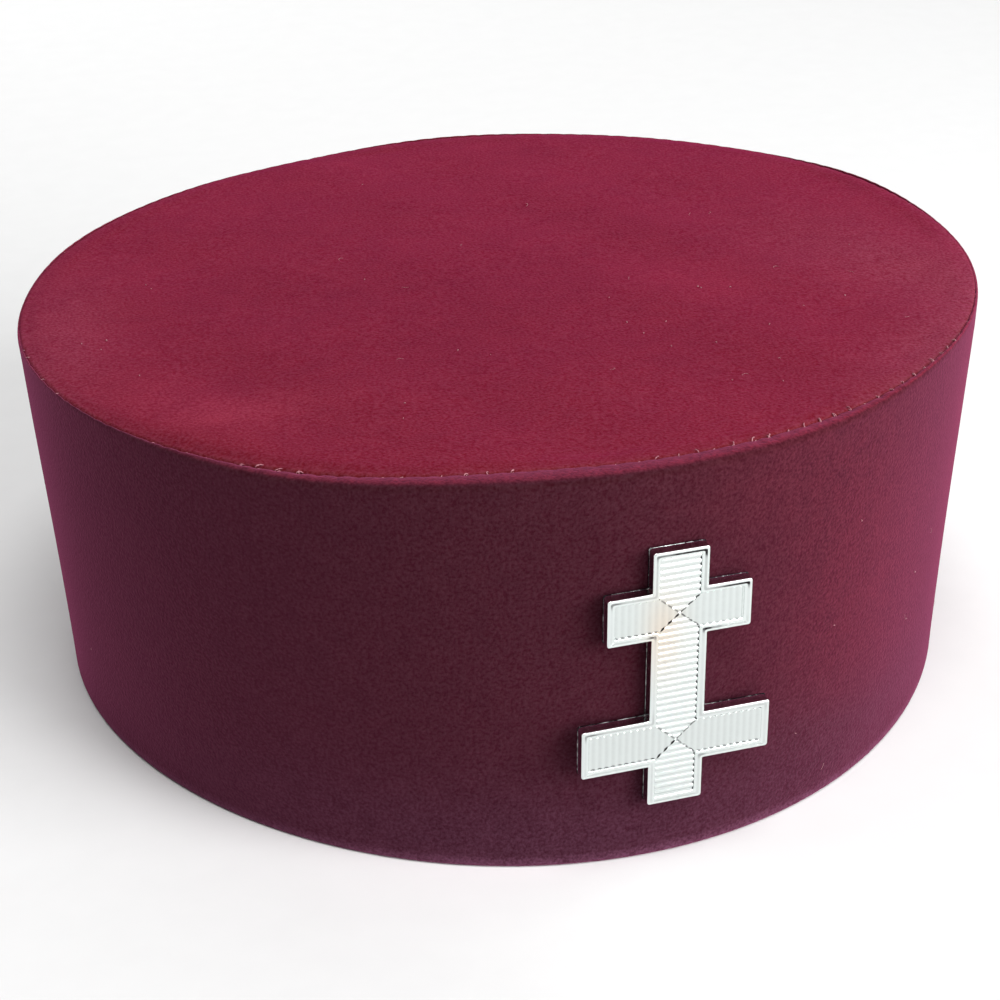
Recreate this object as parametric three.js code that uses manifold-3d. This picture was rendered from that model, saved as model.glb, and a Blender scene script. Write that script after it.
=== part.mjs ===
// A stiff round cap covered in velvet, with a flat crown sewn into the turned-in top of its
// side band, and a flat metal cross with two bars pinned to the front. Millimetres, +Z up.
// The rim stands on z = 0, the cap's axis is Z, and the front of the cap faces -Y.
import * as THREE from 'three';
import { mergeVertices } from 'three/addons/utils/BufferGeometryUtils.js';
import Module from 'manifold-3d';

// The cap.
const RIM_RADIUS = 96;          // outside, round the rim
const CROWN_RADIUS = 99.6;      // outside, round the crown: the wall leans out a little
const HEIGHT = 79.8;            // on the axis
const CROWN_RISE_TO_FRONT = 0.016;  // the crown is a little higher in front, mm for each mm
const CROWN_RISE_TO_RIGHT = 0.011;
const WALL = 2.5;               // stiffened cloth
const TURNED_IN = 3.8;          // the wall's cloth folds in over its top edge by this much
const TURNED_IN_DEPTH = 3;
const TURNED_IN_SLOPE = 2;      // height of the slope from the fold back to the wall
const FOLD_RADIUS = 1.4;        // round of the top edge, outside
const SMALL_ROUND = 0.6;        // round of the rim and of the crown's edge
const CROWN_SUNK = 0.2;         // the crown lies this much below the fold
const GAP = 0.3;                // between pieces that touch
const SECTORS = 96;
const FOLD_STEPS = 4;

// How far the wall's outside is from a true circle about the axis.
const SET_BACK_RIM = 1.5;       // off centre, to the back
const SET_BACK_CROWN = 2;
// The ends of one diameter stand out by OVAL. It is turned from the front towards +X.
const OVAL = 1;
const OVAL_TURN_RIM = THREE.MathUtils.degToRad(-30);
const OVAL_TURN_CROWN = THREE.MathUtils.degToRad(-65);
const EGG_RIM = 1.5;            // three soft lobes, one of them in front
const EGG_CROWN = 0.5;

// The cross: an upright with two bars, the lower one longer.
const CROSS_HEIGHT = 53;
const CROSS_UPRIGHT = 10.7;
const CROSS_THICKNESS = 2.5;
const CROSS_BARS = [
  { height: 13.6, width: 9.6, span: 27.6 },
  { height: -13.1, width: 10, span: 36.7 },
];
const CROSS_CENTRE_HEIGHT = 39.8;
const CROSS_SIDEWAYS = 0.2;
const CROSS_LEAN = THREE.MathUtils.degToRad(0.7);   // its top leans to the wearer's left
const CROSS_BORDER = 1.4;
const CROSS_FIELD_DEPTH = 0.5;

// The clip behind the cross: a strip inside the wall with two pins through it.
const PIN_RADIUS = 1.2;
const PIN_SIDES = 16;
const STRIP_WIDTH = 6;
const STRIP_THICKNESS = 1;
const STRIP_OVERHANG = 4;       // past each pin

const velvet = { color: 0x7d2439, roughness: 0.95, metalness: 0 };
const chrome = { color: 0xdcdedd, roughness: 0.12, metalness: 1 };
const steel = { color: 0x9a9b9c, roughness: 0.4, metalness: 1 };

const wasm = await Module();
wasm.setup();

// The value a share of the way up the wall, between its values at the rim and at the crown.
function upTheWall(atRim, atCrown, up) {
  return atRim + (atCrown - atRim) * up;
}

// Outside radius of the wall: turn is the angle from the front, towards +X, and up is the
// share of the height.
function outsideRadius(turn, up) {
  const round = upTheWall(RIM_RADIUS, CROWN_RADIUS, up);
  const setBack = upTheWall(SET_BACK_RIM, SET_BACK_CROWN, up) * Math.cos(turn);
  const oval = OVAL * Math.cos(2 * (turn - upTheWall(OVAL_TURN_RIM, OVAL_TURN_CROWN, up)));
  const egg = upTheWall(EGG_RIM, EGG_CROWN, up) * Math.cos(3 * turn);
  return round - setBack + oval + egg;
}

// Turns a profile, drawn for a straight round wall, about the axis, and then shapes it:
// the wall leans out and leaves the circle, and the crown tilts.
function capPiece(profile) {
  const geometry = new THREE.LatheGeometry(profile, SECTORS);
  geometry.rotateX(Math.PI / 2);
  const position = geometry.getAttribute('position');
  const point = new THREE.Vector3();
  for (let i = 0; i < position.count; i += 1) {
    point.fromBufferAttribute(position, i);
    const up = point.z / HEIGHT;
    const stretch = outsideRadius(Math.atan2(point.x, -point.y), up) / RIM_RADIUS;
    const x = point.x * stretch;
    const y = point.y * stretch;
    const rise = CROWN_RISE_TO_RIGHT * x - CROWN_RISE_TO_FRONT * y;
    position.setXYZ(i, x, y, point.z + rise * up);
  }
  return geometry;
}

function solid(geometry) {
  const bare = geometry.clone();
  bare.deleteAttribute('normal');
  bare.deleteAttribute('uv');
  const merged = mergeVertices(bare, 1e-3);
  const vertProperties = merged.getAttribute('position').array;
  const triVerts = new Uint32Array(merged.getIndex().array);
  return new wasm.Manifold(new wasm.Mesh({ numProp: 3, vertProperties, triVerts }));
}

function geometryOf(made) {
  const mesh = made.getMesh();
  const geometry = new THREE.BufferGeometry();
  geometry.setAttribute('position', new THREE.BufferAttribute(mesh.vertProperties, 3));
  geometry.setIndex(new THREE.BufferAttribute(mesh.triVerts, 1));
  geometry.computeVertexNormals();
  return geometry;
}

function piece(name, geometry, finish) {
  const mesh = new THREE.Mesh(geometry, new THREE.MeshStandardMaterial(finish));
  mesh.name = name;
  return mesh;
}

// The cross, the clip and the clip's holes share one place: a frame on the outside of the
// wall, with X to the right, Y up the wall and Z outwards.
function crossPlace() {
  const rim = outsideRadius(0, 0);
  const crown = outsideRadius(0, 1);
  const slope = Math.atan((crown - rim) / HEIGHT);
  const up = CROSS_CENTRE_HEIGHT / HEIGHT;
  const place = new THREE.Group();
  place.position.set(CROSS_SIDEWAYS, -outsideRadius(0, up), CROSS_CENTRE_HEIGHT);
  place.rotation.set(Math.PI / 2 + slope, 0, 0);
  place.rotateZ(-CROSS_LEAN);
  return place;
}

// Outline of the cross, drawn in by inset all round.
function crossOutline(inset) {
  const side = CROSS_UPRIGHT / 2 - inset;
  const end = CROSS_HEIGHT / 2 - inset;
  const right = [[side, end]];
  for (const bar of CROSS_BARS) {
    const tip = bar.span / 2 - inset;
    const half = bar.width / 2 - inset;
    right.push([side, bar.height + half]);
    right.push([tip, bar.height + half]);
    right.push([tip, bar.height - half]);
    right.push([side, bar.height - half]);
  }
  right.push([side, -end]);
  const left = right.map(([x, y]) => [-x, y]).reverse();
  return new THREE.Shape([...left, ...right].map(([x, y]) => new THREE.Vector2(x, y)));
}

function plate(outline, depth, bottom) {
  const geometry = new THREE.ExtrudeGeometry(outline, { depth, bevelEnabled: false });
  geometry.translate(0, 0, bottom);
  return geometry;
}

function pin(radius, height, low, high) {
  const geometry = new THREE.CylinderGeometry(radius, radius, high - low, PIN_SIDES);
  geometry.rotateX(Math.PI / 2);
  geometry.translate(0, height, (low + high) / 2);
  return geometry;
}

// Side band: the wall from the rim up, and the fold at its top edge.
function sideBand(place) {
  const profile = [];
  const inside = RIM_RADIUS - WALL;
  const lip = RIM_RADIUS - TURNED_IN;
  profile.push(new THREE.Vector2(inside, 0));
  profile.push(new THREE.Vector2(RIM_RADIUS - SMALL_ROUND, 0));
  profile.push(new THREE.Vector2(RIM_RADIUS, SMALL_ROUND));
  for (let i = 0; i <= FOLD_STEPS; i += 1) {
    const angle = (Math.PI / 2) * (i / FOLD_STEPS);
    const x = RIM_RADIUS - FOLD_RADIUS + FOLD_RADIUS * Math.cos(angle);
    const y = HEIGHT - FOLD_RADIUS + FOLD_RADIUS * Math.sin(angle);
    profile.push(new THREE.Vector2(x, y));
  }
  profile.push(new THREE.Vector2(lip + SMALL_ROUND, HEIGHT));
  profile.push(new THREE.Vector2(lip, HEIGHT - SMALL_ROUND));
  profile.push(new THREE.Vector2(lip, HEIGHT - TURNED_IN_DEPTH));
  profile.push(new THREE.Vector2(inside, HEIGHT - TURNED_IN_DEPTH - TURNED_IN_SLOPE));
  profile.push(new THREE.Vector2(inside, 0));
  let wall = solid(capPiece(profile));
  place.updateMatrixWorld(true);
  for (const bar of CROSS_BARS) {
    const hole = pin(PIN_RADIUS + GAP, bar.height, -3 * WALL, 3 * WALL);
    hole.applyMatrix4(place.matrixWorld);
    wall = wall.subtract(solid(hole));
  }
  return piece('side_band', geometryOf(wall), velvet);
}

// Crown: a flat round panel that lies inside the fold.
function crownTop() {
  const edge = RIM_RADIUS - TURNED_IN - GAP;
  const top = HEIGHT - CROWN_SUNK;
  const profile = [
    new THREE.Vector2(0, top - WALL),
    new THREE.Vector2(edge, top - WALL),
    new THREE.Vector2(edge, top - SMALL_ROUND),
    new THREE.Vector2(edge - SMALL_ROUND, top),
    new THREE.Vector2(0, top),
  ];
  return piece('crown_top', capPiece(profile), velvet);
}

// Cross: a flat plate, GAP off the wall, with a field sunk inside a border.
function crossBadge() {
  const body = solid(plate(crossOutline(0), CROSS_THICKNESS, GAP));
  const floor = GAP + CROSS_THICKNESS - CROSS_FIELD_DEPTH;
  const field = solid(plate(crossOutline(CROSS_BORDER), 2 * CROSS_FIELD_DEPTH, floor));
  return piece('cross_badge', geometryOf(body.subtract(field)), chrome);
}

// Clip: one plain piece that holds the cross on, with a pin behind each crossing.
function badgeClip() {
  const [upper, lower] = CROSS_BARS;
  const length = upper.height - lower.height + 2 * STRIP_OVERHANG;
  const outer = -WALL - GAP;
  const strip = new THREE.BoxGeometry(STRIP_WIDTH, length, STRIP_THICKNESS);
  strip.translate(0, (upper.height + lower.height) / 2, outer - STRIP_THICKNESS / 2);
  let clip = solid(strip);
  for (const bar of CROSS_BARS) {
    clip = clip.add(solid(pin(PIN_RADIUS, bar.height, outer - STRIP_THICKNESS / 2, 0)));
  }
  return piece('badge_clip', geometryOf(clip), steel);
}

const place = crossPlace();
const cap = new THREE.Group();
cap.add(sideBand(place));
cap.add(crownTop());
place.add(crossBadge());
place.add(badgeClip());
cap.add(place);

export default cap;
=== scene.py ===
"""A stiff round cap in wine-red velvet, with a chrome cross of two bars pinned to its front.

Shapes are worked out in millimetres and turned to metres as each mesh is made. +Z is up, the
rim stands on z = 0, the cap's axis is Z and its front faces -Y. A place on the cap is given
by its turn, the angle from the front towards +X, and by its height.
"""
import math

import bpy
import numpy as np
from mathutils import Matrix, Vector


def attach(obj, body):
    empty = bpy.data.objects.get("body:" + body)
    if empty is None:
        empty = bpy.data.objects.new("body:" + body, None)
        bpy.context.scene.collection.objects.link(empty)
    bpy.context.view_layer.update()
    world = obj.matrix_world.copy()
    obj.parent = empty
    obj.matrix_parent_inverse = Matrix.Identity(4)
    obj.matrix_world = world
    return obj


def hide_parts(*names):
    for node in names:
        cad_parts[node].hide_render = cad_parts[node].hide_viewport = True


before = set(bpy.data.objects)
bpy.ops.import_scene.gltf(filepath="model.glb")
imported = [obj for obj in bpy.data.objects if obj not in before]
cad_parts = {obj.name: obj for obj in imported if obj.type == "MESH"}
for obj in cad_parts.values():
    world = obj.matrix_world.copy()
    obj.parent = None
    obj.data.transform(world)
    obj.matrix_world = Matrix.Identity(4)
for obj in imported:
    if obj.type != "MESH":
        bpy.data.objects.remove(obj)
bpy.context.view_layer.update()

MM = 0.001

# The cap's form: the same driving sizes as the side band and the crown of the frame.
RIM_RADIUS = 96.0
CROWN_RADIUS = 99.6
HEIGHT = 79.8
CROWN_RISE_TO_FRONT = 0.016         # mm for each mm
CROWN_RISE_TO_RIGHT = 0.011
WALL = 2.5
CROWN_SUNK = 0.2                    # the crown lies this much below the fold
SET_BACK_RIM = 1.5                  # off centre, to the back
SET_BACK_CROWN = 2.0
OVAL = 1.0                          # the ends of one diameter stand out by this much
OVAL_TURN_RIM = math.radians(-30)
OVAL_TURN_CROWN = math.radians(-65)
EGG_RIM = 1.5                       # three soft lobes, one of them in front
EGG_CROWN = 0.5
COLUMNS = 960                       # points of the wall and the crown, round the cap

# The seam between the side band and the crown. The band's cloth folds over the top edge and
# shows as a roll, wide in front and narrow at the sides and the back.
ROLL_LEAST = 0.45
ROLL_MOST = 4.0
ROLL_CENTRE = math.radians(-12)
ROLL_REACH = math.radians(39)       # either side of the centre, to half its width
ROLL_SHOULDER = 5                   # how square the change of width is
ROLL_SWELL = 1.6                    # wider still in the middle, over a short reach
SWELL_REACH = math.radians(14)
ROLL_HEIGHT = 1.5                   # how far down the outside it begins
CREASE_DEPTH = 0.45                 # where the seam lies easy
TIGHT_CREASE = 1.3                  # deeper by this where it is drawn in tight
TIGHT_CENTRE = math.radians(-56)
TIGHT_REACH = math.radians(24)
ROLL_LAID_AND_PAINTED_LIGHT = 0.52                    # how far its pile lies over, and the roll is painted lighter, as light as the crown
UPRIGHT_CENTRE = math.radians(-68)  # and where the pile stands up instead, and the roll keeps the wall's darker colour
UPRIGHT_REACH = math.radians(22)
CROWN_EDGE_ROUND = 1.1
STITCHES = 156                      # a pitch of about 3.9 mm
FIRST_STITCH = math.radians(-1)
PUCKER_REACH = 0.9
THREAD_RADIUS = 0.1

# The wall: the round of its rim, and the groove that closes it at the very back.
RIM_ROUND = 0.8
GROOVE_DEPTH = 0.7
GROOVE_REACH = 0.8

# Where the stitches have sunk into the pile, from one turn to another, in degrees.
SUNK_STITCHES = ((-180, -46), (-39, -24), (-15.5, -2.5), (50, 180))

# Where the pile lies over and shows lighter (lean above 0) or darker (below 0), and where
# rubbing and dirt have made it paler (dust_and_painted_sheen). Rows marked so are painted
# light, shade and sheen instead. Each is a soft oval; direction is that of its length, in
# degrees from +X or from along the wall. On the crown x and y place it, in mm; on the wall,
# turn in degrees and height in mm. What a row leaves out is 0.
CROWN_MARKS_AND_PAINTED_LIGHT = (
    # Painted sheen: paler and pinker along the far left edge.
    dict(x=-92, y=5, direction=80, long=34, wide=11, lean=0.03, dust_and_painted_sheen=0.12),
    dict(x=-64, y=-45, long=15, wide=6, lean=0.18, dust_and_painted_sheen=0.04),
    dict(x=-78, y=-34, direction=-55, long=20, wide=9, lean=0.15, dust_and_painted_sheen=0.02),
    dict(x=36, y=-14, direction=-60, long=17, wide=11, lean=0.17),
    # Painted sheen: lighter along the back edge.
    dict(x=10, y=88, direction=5, long=60, wide=9, lean=0.07),
    # Painted sheen: paler and pinker along the right edge, in this row and the next.
    dict(x=84, y=-28, direction=-65, long=38, wide=18, dust_and_painted_sheen=0.13),
    dict(x=68, y=-66, direction=43, long=34, wide=11, dust_and_painted_sheen=0.16),
    # Painted shade: darker over the middle.
    dict(x=-12, y=-8, long=42, wide=40, lean=-0.13),
)
WALL_MARKS_AND_PAINTED_LIGHT = (
    # Painted light: lighter and redder on the right, where the light from the right falls.
    dict(turn=29, height=44, direction=90, long=48, wide=28, lean=0.21),
    dict(turn=12, height=74, long=22, wide=12, lean=0.08),
    # Painted light: lighter and redder further round to the right.
    dict(turn=66, height=56, direction=90, long=50, wide=23, lean=0.34),
    # Painted shade: darker along the bottom in front, where it is also paler and purpler.
    dict(turn=-12, height=3, long=85, wide=15, lean=-0.4, dust_and_painted_sheen=0.15),
)

# Loose fibres and specks of lint, strewn by seeded draws in soft oval patches, thickest on the
# crown in front and to the right. x and y place a patch's middle: on the wall, x is in mm
# round it from the front and y is the height.
LINT = (
    dict(on="crown", x=0, y=0, long=88, wide=86, count=12, shortest=0.8, longest=2.2, curl=3.0,
         radius=0.03, lift=0.25),
    dict(on="crown", x=0, y=0, long=88, wide=86, count=14, shortest=0.25, longest=0.45, curl=1.5,
         radius=0.07, lift=0.15),
    dict(on="crown", x=40, y=-45, long=32, wide=26, count=11, shortest=0.3, longest=0.55, curl=1.5,
         radius=0.1, lift=0.2),
    dict(on="crown", x=-84, y=-10, long=9, wide=22, count=4, shortest=0.3, longest=0.5, curl=1.5,
         radius=0.09, lift=0.2),
    dict(on="wall", x=0, y=39, long=300, wide=33, count=12, shortest=0.8, longest=2.2, curl=3.0,
         radius=0.026, lift=0.25),
    dict(on="wall", x=35, y=40, long=50, wide=32, count=6, shortest=0.3, longest=0.5, curl=1.5,
         radius=0.09, lift=0.2),
)

# The cross: the same driving sizes as the badge of the frame. painted_dots_left and
# painted_dots_right give how dark the painted shade is at the lower ends of the ribs, in the
# left and the right arm of each bar.
CROSS_HEIGHT = 53.0
CROSS_UPRIGHT = 10.7
CROSS_THICKNESS = 2.5
CROSS_BARS = (
    dict(height=13.6, width=9.6, span=27.6, painted_dots_left=0.7, painted_dots_right=0.2),
    dict(height=-13.1, width=10.0, span=36.7, painted_dots_left=0.8, painted_dots_right=0.55),
)
CROSS_CENTRE_HEIGHT = 39.8
CROSS_SIDEWAYS = 0.2
CROSS_LEAN = math.radians(0.7)
CROSS_GAP = 0.3                     # between its back and the velvet
CROSS_BORDER = 1.4
CROSS_FIELD_DEPTH = 0.5
CROSS_STEP_DEPTH = 0.14             # from the raised edge down to the strip inside it
RIB_PITCH = 1.285
RIB_HEIGHT = 0.22
LEVEL_RIB_START = -0.25             # the level ribs' valley nearest the middle
RIB_FLOOR_DEPTH = 0.38              # the ribs' valleys below the raised edge
FIELD_INSET = CROSS_BORDER + 0.03   # from the cross's outline to its ribs
CORNER_POINTS = 5                   # of each rounded corner of its outline
SIDE_PARTS = 30                     # of each straight side between two corners

# Painted shade and dark reflections in the step inside the cross's raised edge, and painted
# glints where the thin edge at its back catches the light. Each is a soft oval, as above; x and
# y are mm from the cross's middle.
STEP_PAINTED_SHADE = (
    dict(x=2.0, y=25.8, long=4.5, wide=0.7, painted_shade=0.75),
    dict(x=-4.4, y=25.8, long=1.0, wide=0.7, painted_shade=0.4),
    dict(x=4.65, y=25.3, direction=-60, long=0.7, wide=0.45, painted_shade=1.6),
    dict(x=11.0, y=17.6, long=3.5, wide=0.7, painted_shade=0.95),
    dict(x=-12.6, y=17.6, long=1.4, wide=0.7, painted_shade=0.5),
    dict(x=-16.6, y=-9.0, long=2.0, wide=0.7, painted_shade=0.45),
    dict(x=10.5, y=-9.0, long=6.0, wide=0.7, painted_shade=-0.2),
    dict(x=5.0, y=9.6, long=1.2, wide=0.6, painted_shade=0.8),
    dict(x=7.2, y=9.6, long=2.0, wide=0.6, painted_shade=0.3),
    dict(x=-5.0, y=9.6, long=1.1, wide=0.6, painted_shade=0.7),
    dict(x=4.9, y=-17.3, long=0.9, wide=0.6, painted_shade=0.5),
)
BACK_EDGE_PAINTED_GLINTS = (
    dict(x=-2.2, y=26.5, long=3.9, wide=1.0, painted_glint=0.55),
    dict(x=-8.3, y=18.4, long=0.7, wide=1.0, painted_glint=0.45),
    dict(x=-10.6, y=18.4, long=1.2, wide=1.0, painted_glint=0.25),
    dict(x=-13.2, y=-8.1, long=0.8, wide=1.0, painted_glint=0.6),
    dict(x=-9.4, y=-8.1, long=1.4, wide=1.0, painted_glint=0.8),
    dict(x=7.0, y=-8.1, long=1.5, wide=1.0, painted_glint=0.5),
    dict(x=-5.4, y=0.0, direction=90, long=7.5, wide=0.6, painted_glint=0.35),
    dict(x=-5.4, y=-22.0, direction=90, long=3.5, wide=0.6, painted_glint=0.3),
    dict(x=-18.4, y=-12.5, direction=90, long=4.0, wide=0.6, painted_glint=0.3),
    dict(x=-13.8, y=15.0, direction=90, long=2.5, wide=0.6, painted_glint=0.15),
)

# A warm, creamy cast on the plate: left of the upright's upper half.
WARM_CAST = (
    dict(x=-3.0, y=9.8, direction=90, long=8.5, wide=3.6, warm=0.85),
)

LAMP_AIM = 0.05                     # height that the lights point at, in metres

rng = np.random.default_rng(7)


# ---------------- meshes

def mesh_piece(name, points, faces, material, uv=None, shares=None):
    """Makes one object at the origin from points in millimetres.

    faces is a list of arrays, one for each number of corners. uv, where given, is a list of
    arrays that gives two surface coordinates to each corner of the same faces. shares is a
    dict of named arrays, one number for each point.
    """
    corners = np.concatenate([group.ravel() for group in faces])
    sizes = np.concatenate([np.full(len(group), group.shape[1]) for group in faces])
    mesh = bpy.data.meshes.new(name)
    mesh.vertices.add(len(points))
    mesh.vertices.foreach_set("co", (np.asarray(points) * MM).astype(np.float32).ravel())
    mesh.loops.add(len(corners))
    mesh.loops.foreach_set("vertex_index", corners.astype(np.int32))
    mesh.polygons.add(len(sizes))
    starts = np.concatenate([[0], np.cumsum(sizes)[:-1]])
    mesh.polygons.foreach_set("loop_start", starts.astype(np.int32))
    mesh.polygons.foreach_set("use_smooth", np.ones(len(sizes), bool))
    if uv is not None:
        layer = mesh.uv_layers.new(name="surface")
        both = np.concatenate([group.reshape(-1, 2) for group in uv])
        layer.data.foreach_set("uv", both.astype(np.float32).ravel())
    for title, values in (shares or {}).items():
        share = mesh.attributes.new(title, "FLOAT", "POINT")
        share.data.foreach_set("value", np.asarray(values, np.float32).ravel())
    mesh.update(calc_edges=True)
    mesh.validate()
    mesh.materials.append(material)
    piece = bpy.data.objects.new(name, mesh)
    bpy.context.scene.collection.objects.link(piece)
    return piece


def second_material(piece, material, faces):
    """Gives a piece a second material, on the faces that are marked true."""
    piece.data.materials.append(material)
    piece.data.polygons.foreach_set("material_index", faces.astype(np.int32))


def band_faces(rows, columns, closed):
    """Quads between neighbouring rows of a grid whose columns run right round.

    Point (i, j) is number i * columns + j. closed joins the last row to the first. Returns
    the quads and, for each corner, its unwrapped row and column.
    """
    i, j = np.meshgrid(np.arange(rows if closed else rows - 1), np.arange(columns), indexing="ij")
    row = np.stack([i, i, i + 1, i + 1], -1).reshape(-1, 4)
    column = np.stack([j, j + 1, j + 1, j], -1).reshape(-1, 4)
    return (row % rows) * columns + column % columns, row, column


def smooth_step(value, low, high):
    """0 below low, 1 above high, and 3t^2 - 2t^3 between them, where t is the share."""
    share = np.clip((value - low) / (high - low), 0, 1)
    return share * share * (3 - 2 * share)


def ripple(across, along, waves):
    """A sum of plane sine waves: each row of waves is direction, length, phase, height."""
    total = np.zeros(np.broadcast(across, along).shape)
    for direction, length, phase, height in waves:
        travel = across * math.cos(direction) + along * math.sin(direction)
        total += height * np.sin(2 * math.pi * travel / length + phase)
    return total


def draw_waves(count, shortest, longest, height):
    """Random waves between two lengths, whose heights add up to height."""
    return [
        (rng.uniform(0, math.pi), rng.uniform(shortest, longest), rng.uniform(0, 2 * math.pi),
         height / count)
        for _ in range(count)
    ]


# ---------------- the cap's form

def up_the_wall(at_rim, at_crown, up):
    """The value a share of the way up the wall, between those at the rim and the crown."""
    return at_rim + (at_crown - at_rim) * up


def outside_radius(turn, up):
    """Outside of the wall at a turn, and a share of the height.

    A leaning circle, less set back * cos(turn), plus oval * cos(2 (turn - its turn)) and
    egg * cos(3 turn).
    """
    circle = up_the_wall(RIM_RADIUS, CROWN_RADIUS, up)
    set_back = up_the_wall(SET_BACK_RIM, SET_BACK_CROWN, up) * np.cos(turn)
    oval = OVAL * np.cos(2 * (turn - up_the_wall(OVAL_TURN_RIM, OVAL_TURN_CROWN, up)))
    egg = up_the_wall(EGG_RIM, EGG_CROWN, up) * np.cos(3 * turn)
    return circle - set_back + oval + egg


def on_cap(turn, inset, height):
    """Points at a turn, an inset from the wall's outside and a height, tilted with the crown."""
    radius = outside_radius(turn, height / HEIGHT) - inset
    x = radius * np.sin(turn)
    y = -radius * np.cos(turn)
    rise = CROWN_RISE_TO_RIGHT * x - CROWN_RISE_TO_FRONT * y
    return np.stack(np.broadcast_arrays(x, y, height + rise * height / HEIGHT), -1)


def turned(angle):
    """An angle brought between minus and plus half a turn."""
    return (angle + math.pi) % (2 * math.pi) - math.pi


def roll_width(turn):
    """Width of the roll, with d the distance from its centre.

    least + (most - least) / (1 + (d / reach) ^ shoulder) + swell * exp(-(d / swell reach)^2).
    """
    away = np.abs(turned(turn - ROLL_CENTRE))
    broad = (ROLL_MOST - ROLL_LEAST) / (1 + (away / ROLL_REACH) ** ROLL_SHOULDER)
    return ROLL_LEAST + broad + ROLL_SWELL * np.exp(-(away / SWELL_REACH) ** 2)


def fold_drop(turn):
    """How far the fold dips below the crown's plane: slow waves of six and eleven to a turn."""
    return 0.35 * np.cos(6 * (turn + math.radians(43))) + 0.12 * np.cos(11 * turn + 1.3)


stitch_turn = (np.arange(STITCHES) + rng.uniform(-0.12, 0.12, STITCHES)) * 2 * math.pi / STITCHES
stitch_turn = turned(stitch_turn + FIRST_STITCH)
stitch_pull = rng.uniform(0.2, 1.0, STITCHES)
wall_waves = draw_waves(7, 35, 110, 0.35)
crown_waves = draw_waves(9, 24, 80, 0.5)
all_round = -math.pi + 2 * math.pi * np.arange(COLUMNS) / COLUMNS


def seam(turn):
    """The seam's form at each turn, as named arrays.

    width is the roll's width and narrow is 1 where it is least, 0 where it is wide. tight is
    exp(-(d / reach)^2), with d the turn from where the seam is tightest, and laid_and_painted_light
    is how far the roll's pile lies over, less a share of exp(-(d / reach)^2) round where it
    stands; on the roll it is also painted light, which makes the roll lighter where it faces up.
    pull is how hard the nearest stitch draws in, pull * exp(-(distance / reach)^2), and drop is
    how far the fold dips. roll_top and crease are heights, and crease_depth is how far the
    crease lies below the fold before stitches and dips move it.
    """
    width = roll_width(turn)
    narrow = smooth_step(-width, -2.2, -ROLL_LEAST)
    away = np.abs(turned(turn[:, None] - stitch_turn[None, :])) * CROWN_RADIUS
    pull = stitch_pull[away.argmin(1)] * np.exp(-(away.min(1) / PUCKER_REACH) ** 2)
    drop = fold_drop(turn)
    tight = np.exp(-(turned(turn - TIGHT_CENTRE) / TIGHT_REACH) ** 2)
    upright = np.exp(-(turned(turn - UPRIGHT_CENTRE) / UPRIGHT_REACH) ** 2)
    laid_and_painted_light = (ROLL_LAID_AND_PAINTED_LIGHT + 0.3 * narrow) * (1 - upright)
    roll_top = HEIGHT - drop - 0.25 * narrow - 0.3 * tight - 0.14 * pull
    crease_depth = CREASE_DEPTH - 0.15 * narrow + TIGHT_CREASE * tight
    crease = HEIGHT - crease_depth - 0.2 * pull - 0.6 * drop
    return dict(width=width, narrow=narrow, pull=pull, drop=drop, tight=tight, laid_and_painted_light=laid_and_painted_light,
                roll_top=roll_top, crease=crease, crease_depth=crease_depth)


def mark_place(mark):
    """The middle of a mark: mm round from the front and mm up on the wall, x and y elsewhere."""
    if "turn" in mark:
        return math.radians(mark["turn"]) * RIM_RADIUS, mark["height"]
    return mark["x"], mark["y"]


def ovals(across, along, table, column):
    """The named column of a table of soft ovals, added up at each point.

    Each oval adds amount * exp(-(u / long)^2 - (v / wide)^2), with u along its own direction
    and v across it, both from its middle.
    """
    total = np.zeros(np.shape(across))
    for mark in table:
        x, y = mark_place(mark)
        direction = math.radians(mark.get("direction", 0))
        du, dv = across - x, along - y
        u = du * math.cos(direction) + dv * math.sin(direction)
        v = dv * math.cos(direction) - du * math.sin(direction)
        total += mark.get(column, 0) * np.exp(-(u / mark["long"]) ** 2 - (v / mark["wide"]) ** 2)
    return total


# ---------------- velvet pieces

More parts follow.
